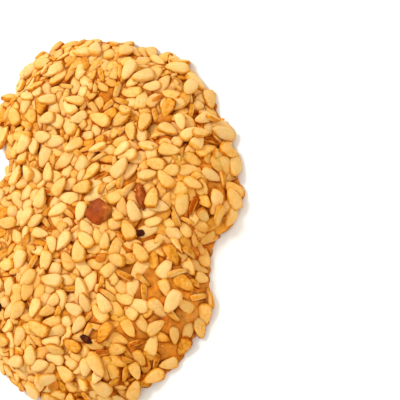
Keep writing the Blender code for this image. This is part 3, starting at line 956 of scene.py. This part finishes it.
class Recipe:
    """A material being put together from shader nodes."""

    def __init__(self, name):
        self.material = bpy.data.materials.new(name)
        self.material.use_nodes = True
        self.tree = self.material.node_tree
        self.shader = self.tree.nodes["Principled BSDF"]

    def add(self, kind, **values):
        node = self.tree.nodes.new(kind)
        for key, value in values.items():
            if key in node.inputs:
                node.inputs[key].default_value = value
            else:
                setattr(node, key, value)
        return node

    def feed(self, value, target):
        """Links one socket to another, or sets the target to a number or a colour."""
        if isinstance(value, bpy.types.NodeSocket):
            self.tree.links.new(value, target)
        elif target.type == "RGBA":
            target.default_value = (*value, 1.0)
        else:
            target.default_value = value

    def attribute(self, name, *levels):
        """An attribute of the piece, spread from two levels to two values if they are given."""
        value = self.add("ShaderNodeAttribute", attribute_name=name).outputs["Fac"]
        return self.spread(value, *levels) if levels else value

    def noise(self, look):
        """Noise over the piece's own space, as coarse and as rough as a pattern or grit says."""
        spot = self.add("ShaderNodeTexCoord").outputs["Object"]
        steps = self.add("ShaderNodeMapping", Scale=(look.scale, look.scale, look.scale))
        self.feed(spot, steps.inputs["Vector"])
        node = self.add("ShaderNodeTexNoise", Scale=1.0)
        node.inputs["Detail"].default_value = look.detail
        node.inputs["Roughness"].default_value = look.roughness
        self.feed(steps.outputs["Vector"], node.inputs["Vector"])
        return node.outputs["Fac"]

    def spread(self, value, low, high, to_low=0.0, to_high=1.0):
        """A value between two levels, spread over the range between two others."""
        node = self.add("ShaderNodeMapRange", clamp=True)
        for target, level in zip(node.inputs, (value, low, high, to_low, to_high)):
            self.feed(level, target)
        return node.outputs["Result"]

    def pattern(self, look):
        return self.spread(self.noise(look), look.low, look.high, look.to_low, look.to_high)

    def math(self, operation, one, other):
        node = self.add("ShaderNodeMath", operation=operation)
        self.feed(one, node.inputs[0])
        self.feed(other, node.inputs[1])
        return node.outputs["Value"]

    def blend(self, share, one, other, how="MIX"):
        """Two colours mixed by a share."""
        node = self.add("ShaderNodeMix", data_type="RGBA", blend_type=how, clamp_factor=True)
        first, second = (socket for socket in node.inputs if socket.type == "RGBA")
        self.feed(share, node.inputs["Factor"])
        self.feed(one, first)
        self.feed(other, second)
        return next(socket for socket in node.outputs if socket.type == "RGBA")

    def shaded(self, colour, shade):
        """A colour made darker or lighter by a number."""
        grey = self.add("ShaderNodeCombineColor")
        for channel in grey.inputs:
            self.feed(shade, channel)
        return self.blend(1.0, colour, grey.outputs["Color"], how="MULTIPLY")

    def glaze(self, colour, tint):
        """Warms a colour where the glaze is thick, in the same patches on every piece."""
        return self.blend(self.pattern(GLAZE_PATCHES), colour, tint)

    def grit(self, look, under=0.0):
        """Gives the surface a relief of fine noise, on top of a coarser height."""
        height = self.math("ADD", under, self.noise(look))
        node = self.add("ShaderNodeBump", Distance=look.depth, Strength=look.strength)
        self.feed(height, node.inputs["Height"])
        self.feed(node.outputs["Normal"], self.shader.inputs["Normal"])

    def finish(self, colour, **values):
        self.feed(colour, self.shader.inputs["Base Color"])
        for key, value in values.items():
            self.feed(value, self.shader.inputs[key.replace("_", " ")])
        return self.material


def dough_material(look):
    """Baked dough: dry tan to glazed amber, caramelised and darkened by painted shade where it lies
    deep between seeds.
    """
    recipe = Recipe("Baked dough")
    colour = recipe.blend(recipe.pattern(TAN_PATCHES), look.amber, look.tan)
    colour = recipe.blend(recipe.attribute("foot", *TAN_FOOT), colour, look.tan)
    colour = recipe.blend(recipe.pattern(CARAMEL_POOLS), colour, look.pooled)
    # painted shade and caramel deep between seeds
    colour = recipe.blend(recipe.attribute("crevice_shade_and_caramel", *CARAMEL_AND_SHADE_DEPTHS), colour, look.crevice_shade_and_caramel)
    colour = recipe.glaze(colour, look.amber)
    baked = recipe.blend(recipe.pattern(SCORCH), look.underside, look.scorched_and_pore_shade)
    # painted shade in the pores of the base
    hollow = recipe.attribute("crevice_shade_and_caramel", *PORE_SHADE_LEVELS)
    baked = recipe.blend(hollow, baked, look.scorched_and_pore_shade)
    colour = recipe.blend(recipe.attribute("underside"), colour, baked)
    mottle = recipe.math("MULTIPLY", recipe.pattern(DOUGH_MOTTLE), recipe.pattern(DOUGH_CLOUDS))
    recipe.grit(DOUGH_GRIT)
    return recipe.finish(
        recipe.shaded(colour, mottle),
        Roughness=recipe.pattern(DOUGH_DULLNESS),
        Specular_IOR_Level=0.04,
        Subsurface_Weight=0.2,
        Subsurface_Radius=(1.0, 0.5, 0.2),
        Subsurface_Scale=0.0012,
        Coat_Weight=look.gloss,
        Coat_Roughness=0.3,
    )


def seed_material(look):
    """Hulled sesame: cream to brown by toast, with darker rims, faint streaks and eyes, and painted
    shade, partly pooled glaze, where a seed nears the dough or another seed.
    """
    recipe = Recipe("Toasted sesame")
    toast = recipe.attribute("toast")
    rim = recipe.attribute("rim", *RIM_TOAST)
    for more in (rim, recipe.pattern(SEED_BLOTCHES), recipe.pattern(SEED_SPECKLE)):
        toast = recipe.math("ADD", toast, more)
    ramp = recipe.add("ShaderNodeValToRGB")
    recipe.feed(toast, ramp.inputs["Fac"])
    stops = ramp.color_ramp.elements
    colours = (look.cream, look.gold, look.toasted, look.brown)
    while len(stops) < len(colours):
        stops.new(0.5)
    for stop, place, colour in zip(stops, TOAST_STOPS, colours):
        stop.position = place
        stop.color = (*colour, 1.0)
    streaks = recipe.add("ShaderNodeTexNoise", Scale=1.0, Detail=STREAK_DETAIL)
    spot = recipe.add("ShaderNodeCombineXYZ")
    recipe.feed(spot.outputs["Vector"], streaks.inputs["Vector"])
    for axis, name, steps in STREAK_STEPS:
        recipe.feed(recipe.math("MULTIPLY", recipe.attribute(name), steps), spot.inputs[axis])
    streaks = streaks.outputs["Fac"]
    shade = recipe.spread(streaks, *STREAK_SHADES)
    shade = recipe.math("MULTIPLY", shade, recipe.attribute("tone", *TONE_SHADES))
    colour = recipe.glaze(recipe.shaded(ramp.outputs["Color"], shade), look.glaze)
    # painted contact shade, partly pooled glaze, where a seed nears the dough or another seed
    gap = recipe.math("ADD", recipe.attribute("gap"), recipe.pattern(GAP_RAGGED))
    clouds = recipe.pattern(GAP_CLOUDS)
    for levels, tint in ((GAP_WARM_SHADE_AND_GLAZE, look.toasted), (GAP_DARK_SHADE_AND_GLAZE, look.brown)):
        share = recipe.math("MULTIPLY", recipe.spread(gap, *levels), clouds)
        colour = recipe.blend(share, colour, tint)
    tip = recipe.attribute("along", *EYE_REACH)
    eye = recipe.math("MULTIPLY", tip, recipe.attribute("eye"))
    recipe.grit(SEED_GRIT, under=streaks)
    return recipe.finish(
        recipe.blend(eye, colour, look.eye),
        Roughness=recipe.pattern(SEED_DULLNESS),
        Specular_IOR_Level=0.04,
        Subsurface_Weight=0.2,
        Subsurface_Radius=(1.0, 0.6, 0.25),
        Subsurface_Scale=0.0005,
    )


def nut_material(look):
    """Nut chips: russet papery skin, worn through to the kernel on one side."""
    recipe = Recipe("Nut skin")
    worn = recipe.attribute("broken", *NUT_WORN)
    colour = recipe.blend(worn, look.skin, look.kernel)
    recipe.grit(NUT_GRIT)
    return recipe.finish(
        recipe.shaded(colour, recipe.pattern(NUT_MOTTLE)),
        Roughness=0.55,
        Specular_IOR_Level=0.06,
        Subsurface_Weight=0.1,
        Subsurface_Radius=(1.0, 0.4, 0.2),
        Subsurface_Scale=0.001,
        Coat_Weight=0.03,
        Coat_Roughness=0.3,
    )


def flake_material(look):
    recipe = Recipe("Dark nut skin")
    colour = recipe.blend(recipe.pattern(FLAKE_TINT), look.flake, look.skin)
    recipe.grit(FLAKE_GRIT)
    return recipe.finish(colour, Roughness=0.6, Specular_IOR_Level=0.06)


def caramel_material(look):
    recipe = Recipe("Caramelised glaze")
    dark = [channel * CARAMEL_SHADE for channel in look.caramel]
    recipe.grit(CARAMEL_GRIT)
    return recipe.finish(
        recipe.blend(recipe.pattern(CARAMEL_TINT), look.caramel, dark),
        Roughness=0.45,
        Specular_IOR_Level=0.1,
        Subsurface_Weight=0.2,
        Subsurface_Radius=(1.0, 0.4, 0.1),
        Subsurface_Scale=0.0016,
        Coat_Weight=0.1,
        Coat_Roughness=0.3,
    )


def crumb_material(look):
    recipe = Recipe("Dry crumbs")
    tint = recipe.attribute("tone", *CRUMB_TINT)
    recipe.grit(CRUMB_GRIT)
    colour = recipe.blend(tint, look.tan, look.amber)
    return recipe.finish(colour, Roughness=0.65, Specular_IOR_Level=0.2)


def floor_material(look):
    recipe = Recipe("Pale surface")
    dark = [channel * FLOOR_SHADE for channel in look.floor]
    colour = recipe.blend(recipe.pattern(FLOOR_TINT), look.floor, dark)
    return recipe.finish(colour, Roughness=0.6)


# --- the pieces --------------------------------------------------------------------------


class COOKIE_OT_bake_dough(bpy.types.Operator):
    """Makes the dough: lumpy skin, ragged foot, hollowed base, raised along every seed"""

    bl_idname = "cookie.bake_dough"
    bl_label = "Bake dough"

    def execute(self, context):
        seeds, _ = layout()
        form = bmesh.new()
        make_skin(form)
        make_base(form)
        bmesh.ops.recalc_face_normals(form, faces=form.faces)
        draft = bpy.data.meshes.new("draft")
        form.to_mesh(draft)
        crevice_shade_and_caramel, upper = raise_dough(draft, seeds)
        form.clear()
        form.from_mesh(draft)
        bpy.data.meshes.remove(draft)
        foot = [vert.co.z / DOUGH_HEIGHT for vert in form.verts]
        piece = new_piece("baked_dough", form, dough_material(context.scene.cookie_dough))
        set_attribute(piece.data, "crevice_shade_and_caramel", crevice_shade_and_caramel)
        set_attribute(piece.data, "foot", foot)
        set_attribute(piece.data, "underside", 1.0 - upper)
        return {"FINISHED"}


def seed_shape(draw):
    """A seed of half size 1 each way, its pointed end at +X, with its own bend and dents."""
    taper = SEED_TAPER * draw.uniform(*TAPER_SHARES)
    bend, skew, cup = draw.normal(size=3) * SHAPE_STRAYS
    shift = Vector(draw.uniform(0, DENT_PLACES, size=3))
    form = bmesh.new()
    layers = {name: form.verts.layers.float.new(name) for name in SEED_ATTRIBUTES}
    bmesh.ops.create_uvsphere(form, u_segments=SEED_SIDES, v_segments=SEED_RINGS, radius=1.0)
    for vert in form.verts:
        along, across, thin = vert.co.z, vert.co.x, vert.co.y
        rim = math.hypot(along, across)
        ring = math.hypot(across, thin)
        if ring > 0:
            across = math.copysign(abs(across / ring) ** SECTION_WIDTH, across)
            thin = math.copysign(abs(thin / ring) ** SECTION_THICKNESS, thin)
        across *= ring ** (OUTLINE_FULLNESS + END_POINT * along)
        narrow = 1 - taper * along
        flat = thin * ring**FACE_FLATNESS
        for name, value in (("rim", rim), ("along", along), ("across", across)):
            vert[layers[name]] = value
        dent = 1 + DENT_DEPTH * noise.noise(vert.co * DENT_WAVE + shift)
        vert.co.x = along * dent
        vert.co.y = across * narrow * dent + skew * along * along
        vert.co.z = flat * narrow + bend * along * along - cup * (1 - rim)
    mesh = bpy.data.meshes.new("seed shape")
    form.to_mesh(mesh)
    form.free()
    return mesh


def toast_of(seed, luck):
    """How far a seed is toasted: more near the thin edge, and in patches that are partly browning
    and partly painted light and shade.
    """
    x, y, z = seed.centre
    cloud = noise.noise(Vector(seed.centre) / TOAST_CLOUD_WAVE + TOAST_CLOUD_PLACE)
    edge = max(0.0, 1.0 - z / TOAST_EDGE_HEIGHT)
    toast = TOAST_LEAST + TOAST_BY_LUCK * luck + TOAST_BY_CLOUD * cloud + TOAST_BY_EDGE * edge
    if luck > OVERDONE_LUCK:
        toast += TOAST_OVERDONE
    if seed.tucked:
        toast += TOAST_IF_TUCKED
    # browner and paler patches: partly browning, partly painted light and shade
    for patch_x, patch_y, reach, change in TOAST_LIGHT_AND_SHADE_PATCHES:
        away = ((x - patch_x) ** 2 + (y - patch_y) ** 2) / reach**2
        toast += change * math.exp(-away)
    return min(max(toast, 0.0), TOAST_MOST)


def gap_around(points, seed, seeds, centres):
    """How far each point of a seed is from the dough or the next seed, below 0 inside it."""
    gaps = (points - seed.ground) @ seed.up
    near = np.linalg.norm(centres - seed.centre, axis=1) < GAP_REACH
    for index in np.flatnonzero(near):
        other = seeds[index]
        if other is seed:
            continue
        local = (points - other.centre) @ other.axes.T
        scaled = np.linalg.norm(local / other.half, axis=1)
        apart = (scaled - 1) * np.linalg.norm(local, axis=1) / np.maximum(scaled, LEAST)
        gaps = np.minimum(gaps, apart)
    return gaps


class COOKIE_OT_lay_seeds(bpy.types.Operator):
    """Makes the sesame seeds, each at its true size and in the place worked out for it"""

    bl_idname = "cookie.lay_seeds"
    bl_label = "Lay seeds"

    def execute(self, context):
        look = context.scene.cookie_seeds
        seeds, _ = layout()
        draw = np.random.default_rng(SHAPE_LUCK)
        shapes = [seed_shape(draw) for _ in range(SEED_SHAPES)]
        form = bmesh.new()
        layers = {name: form.verts.layers.float.new(name) for name in SEED_ATTRIBUTES}
        centres = np.array([seed.centre for seed in seeds])
        for seed in seeds:
            shape = shapes[draw.integers(SEED_SHAPES)]
            first = len(form.verts)
            form.from_mesh(shape)
            form.verts.ensure_lookup_table()
            fresh = form.verts[first:]
            same = {"toast": toast_of(seed, draw.normal())}
            same["tone"] = draw.random()
            same["eye"] = float(draw.random() < EYE_SHARE)
            size = Matrix.Diagonal(Vector(seed.half))
            place = (Matrix(seed.axes.T.tolist()) @ size).to_4x4()
            place.translation = Vector(seed.centre)
            bmesh.ops.transform(form, matrix=place, verts=fresh)
            gaps = gap_around(np.array([vert.co for vert in fresh]), seed, seeds, centres)
            for vert, gap in zip(fresh, gaps):
                vert[layers["gap"]] = gap
                for name, value in same.items():
                    vert[layers[name]] = value
        for shape in shapes:
            bpy.data.meshes.remove(shape)
        new_piece("sesame_seeds", form, seed_material(look))
        return {"FINISHED"}


def on_dough(form, verts, x, y, size, degrees, sink):
    """Stretches a unit form to a size and presses it into the dough at x, y."""
    turn = math.atan2(y, x)
    climb = climb_at(turn, math.hypot(x, y))
    normal = dough_normal(turn, climb)
    lean = Vector((0, 0, 1)).rotation_difference(normal).to_matrix()
    spin = Matrix.Rotation(math.radians(degrees), 3, "Z")
    place = (lean @ spin @ Matrix.Diagonal(Vector(size) / 2)).to_4x4()
    place.translation = dough_point(turn, climb) + normal * size[2] * (0.5 - sink)
    bmesh.ops.transform(form, matrix=place, verts=verts)


def with_corners(spot):
    """A point of a unit ball, moved to give the ball four corners and a flatter top."""
    ring = math.hypot(spot.x, spot.y)
    height = math.copysign(abs(spot.z) ** NUT_FLATNESS, spot.z)
    if ring == 0:
        return Vector((0.0, 0.0, height))
    sides = (abs(spot.x) / ring) ** NUT_CORNERS + (abs(spot.y) / ring) ** NUT_CORNERS
    pull = sides ** (-1 / NUT_CORNERS)
    return Vector((spot.x * pull, spot.y * pull, height))


def add_lump(form, kind, index):
    """Adds a rough unit ball of a kind; each index gives one its own form."""
    made = bmesh.ops.create_icosphere(form, subdivisions=kind.divisions, radius=1.0)
    shift = Vector([first + index * step for first, step in zip(kind.first, kind.step)])
    for vert in made["verts"]:
        vert.co *= 1 + kind.roughness * noise.noise(vert.co * kind.wave + shift)
    return made["verts"]


def pressed_lumps(kind, places):
    """Rough balls of a kind, flattened and pressed into the dough."""
    form = bmesh.new()
    for index, (x, y, length, width, degrees) in enumerate(places):
        size = (length, width, kind.thickness)
        on_dough(form, add_lump(form, kind, index), x, y, size, degrees, kind.sink)
    return form


class COOKIE_OT_press_nuts(bpy.types.Operator):
    """Makes the broken nut chips and the dark flakes of their skin"""

    bl_idname = "cookie.press_nuts"
    bl_label = "Press nuts in"

    def execute(self, context):
        look = context.scene.cookie_nuts
        form = bmesh.new()
        broken = form.verts.layers.float.new("broken")
        for index, (x, y, length, width, thickness, degrees) in enumerate(NUT_CHIPS):
            made = bmesh.ops.create_icosphere(form, subdivisions=NUT_SMOOTHNESS, radius=1.0)
            shift = Vector((index * NUT_STEP, 0, 0))
            to_end, to_middle = NUT_WEAR[index]
            for vert in made["verts"]:
                rough = 1 + NUT_ROUGHNESS * noise.noise(vert.co * NUT_WAVE + shift)
                rough += NUT_WRINKLE * noise.noise(vert.co * NUT_WRINKLE_WAVE + shift)
                worn = to_end * vert.co.x + to_middle * (1 - 2 * vert.co.y**2)
                vert[broken] = worn + NUT_WEAR_RAGGED * noise.noise(vert.co * NUT_WEAR_WAVE)
                vert.co = with_corners(vert.co) * rough
            size = (length, width, thickness)
            on_dough(form, made["verts"], x, y, size, degrees, NUT_SINK)
        new_piece("nut_chips", form, nut_material(look))
        new_piece("skin_flakes", pressed_lumps(FLAKE, SKIN_FLAKES), flake_material(look))
        return {"FINISHED"}


class COOKIE_OT_drip_glaze(bpy.types.Operator):
    """Makes the beads of caramelised glaze that stand between the seeds"""

    bl_idname = "cookie.drip_glaze"
    bl_label = "Drip glaze"

    def execute(self, context):
        look = context.scene.cookie_nuts
        new_piece("glaze_beads", pressed_lumps(BEAD, GLAZE_BEADS), caramel_material(look))
        return {"FINISHED"}


class COOKIE_OT_scatter_crumbs(bpy.types.Operator):
    """Makes the loose crumbs of dough that cling between the seeds"""

    bl_idname = "cookie.scatter_crumbs"
    bl_label = "Scatter crumbs"

    def execute(self, context):
        draw = np.random.default_rng(CRUMB_LUCK)
        form = bmesh.new()
        tone = form.verts.layers.float.new("tone")
        for index, (turn, climb) in enumerate(skin_samples(draw, CRUMB_COUNT)):
            verts = add_lump(form, CRUMB, index)
            shade = draw.random()
            for vert in verts:
                vert[tone] = shade
            size = draw.uniform(*CRUMB_SIZES)
            lift = dough_normal(turn, climb) * size * CRUMB_LIFT
            centre = dough_point(turn, climb) + lift
            centre.z = max(centre.z, size)
            scale = Vector([size * share for share in CRUMB_FORM]) * CRUMB_SCALE
            place = Matrix.LocRotScale(centre, None, scale)
            bmesh.ops.transform(form, matrix=place, verts=verts)
        new_piece("crumbs", form, crumb_material(context.scene.cookie_dough))
        return {"FINISHED"}


# --- the stage ---------------------------------------------------------------------------

# Sizes and places in metres.
FLOOR_SIZE = 1.5
FLOOR_CELLS = 8
LIGHT_SIZE = 0.28
LIGHT_PLACE = (-0.44, 0.38, 0.62)
FILL_SIZE = 0.8
FILL_PLACE = (0.5, -0.5, 0.6)
FILL_SHARE = 0.3
SKY_TINT = (1.0, 0.98, 0.88, 1.0)
CLIP_START = 0.01


def add_light(name, place, size, power):
    light = bpy.data.lights.new(name, "AREA")
    light.shape = "DISK"
    light.size = size
    light.energy = power
    lamp = bpy.data.objects.new(name, light)
    lamp.location = place
    lamp.rotation_euler = Vector(place).to_track_quat("Z", "Y").to_euler()
    bpy.context.scene.collection.objects.link(lamp)


def add_camera():
    """The view of the leaning cookie, as a camera that leans over one lying flat."""
    tilt, side = math.radians(CAMERA_TILT), math.radians(CAMERA_SIDE)
    back = Vector((math.sin(tilt) * math.cos(side), math.sin(tilt) * math.sin(side), 0.0))
    back.z = math.cos(tilt)
    right = Vector((0, 1, 0)).cross(back).normalized()
    turn = Matrix((right, back.cross(right), back)).transposed()
    camera = bpy.data.cameras.new("Camera")
    camera.sensor_width = SENSOR_WIDTH
    camera.lens = SENSOR_WIDTH * CAMERA_DISTANCE / FRAME_WIDTH
    camera.clip_start = CLIP_START
    holder = bpy.data.objects.new("Camera", camera)
    place = (Vector(CAMERA_AIM) - layout()[1] + back * CAMERA_DISTANCE) * MM
    holder.matrix_world = Matrix.Translation(place) @ turn.to_4x4()
    bpy.context.scene.collection.objects.link(holder)
    bpy.context.scene.camera = holder


class COOKIE_OT_set_stage(bpy.types.Operator):
    """Makes the floor, the soft lights, the sky and the camera"""

    bl_idname = "cookie.set_stage"
    bl_label = "Set stage"

    def execute(self, context):
        look = context.scene.cookie_stage
        form = bmesh.new()
        bmesh.ops.create_grid(form, x_segments=FLOOR_CELLS, y_segments=FLOOR_CELLS, size=FLOOR_SIZE)
        mesh = bpy.data.meshes.new("floor")
        form.to_mesh(mesh)
        form.free()
        mesh.materials.append(floor_material(look))
        floor = bpy.data.objects.new("floor", mesh)
        context.scene.collection.objects.link(floor)
        add_light("Key light", LIGHT_PLACE, LIGHT_SIZE, look.key_power)
        add_light("Fill light", FILL_PLACE, FILL_SIZE, look.key_power * FILL_SHARE)
        sky = bpy.data.worlds.new("Studio")
        sky.use_nodes = True
        light = sky.node_tree.nodes["Background"]
        light.inputs["Color"].default_value = SKY_TINT
        light.inputs["Strength"].default_value = look.sky
        context.scene.world = sky
        context.scene.view_settings.view_transform = "Standard"
        add_camera()
        return {"FINISHED"}


# --- the add-on --------------------------------------------------------------------------


class COOKIE_PT_bakery(bpy.types.Panel):
    """Lists the cookie's settings, and a button for each kind of piece"""

    bl_label = "Sesame cookie"
    bl_space_type = "VIEW_3D"
    bl_region_type = "UI"
    bl_category = "Cookie"

    def draw(self, context):
        for operator, settings in STEPS:
            box = self.layout.box()
            box.operator(operator.bl_idname)
            group = getattr(context.scene, settings)
            for name in group.bl_rna.properties.keys():
                if name not in ("rna_type", "name"):
                    box.prop(group, name)


SETTINGS = {
    "cookie_dough": DoughSettings,
    "cookie_seeds": SeedSettings,
    "cookie_nuts": NutSettings,
    "cookie_stage": StageSettings,
}
STEPS = (
    (COOKIE_OT_set_stage, "cookie_stage"),
    (COOKIE_OT_bake_dough, "cookie_dough"),
    (COOKIE_OT_lay_seeds, "cookie_seeds"),
    (COOKIE_OT_press_nuts, "cookie_nuts"),
    (COOKIE_OT_drip_glaze, "cookie_nuts"),
    (COOKIE_OT_scatter_crumbs, "cookie_dough"),
)
CLASSES = (*SETTINGS.values(), *(step[0] for step in STEPS), COOKIE_PT_bakery)


def register():
    for item in CLASSES:
        bpy.utils.register_class(item)
    for name, group in SETTINGS.items():
        setattr(bpy.types.Scene, name, PointerProperty(type=group))


def unregister():
    for name in SETTINGS:
        delattr(bpy.types.Scene, name)
    for item in reversed(CLASSES):
        bpy.utils.unregister_class(item)


def main():
    register()
    bpy.ops.cookie.set_stage()
    bpy.ops.cookie.bake_dough()
    bpy.ops.cookie.lay_seeds()
    bpy.ops.cookie.press_nuts()
    bpy.ops.cookie.drip_glaze()
    bpy.ops.cookie.scatter_crumbs()


if __name__ == "__main__":
    main()
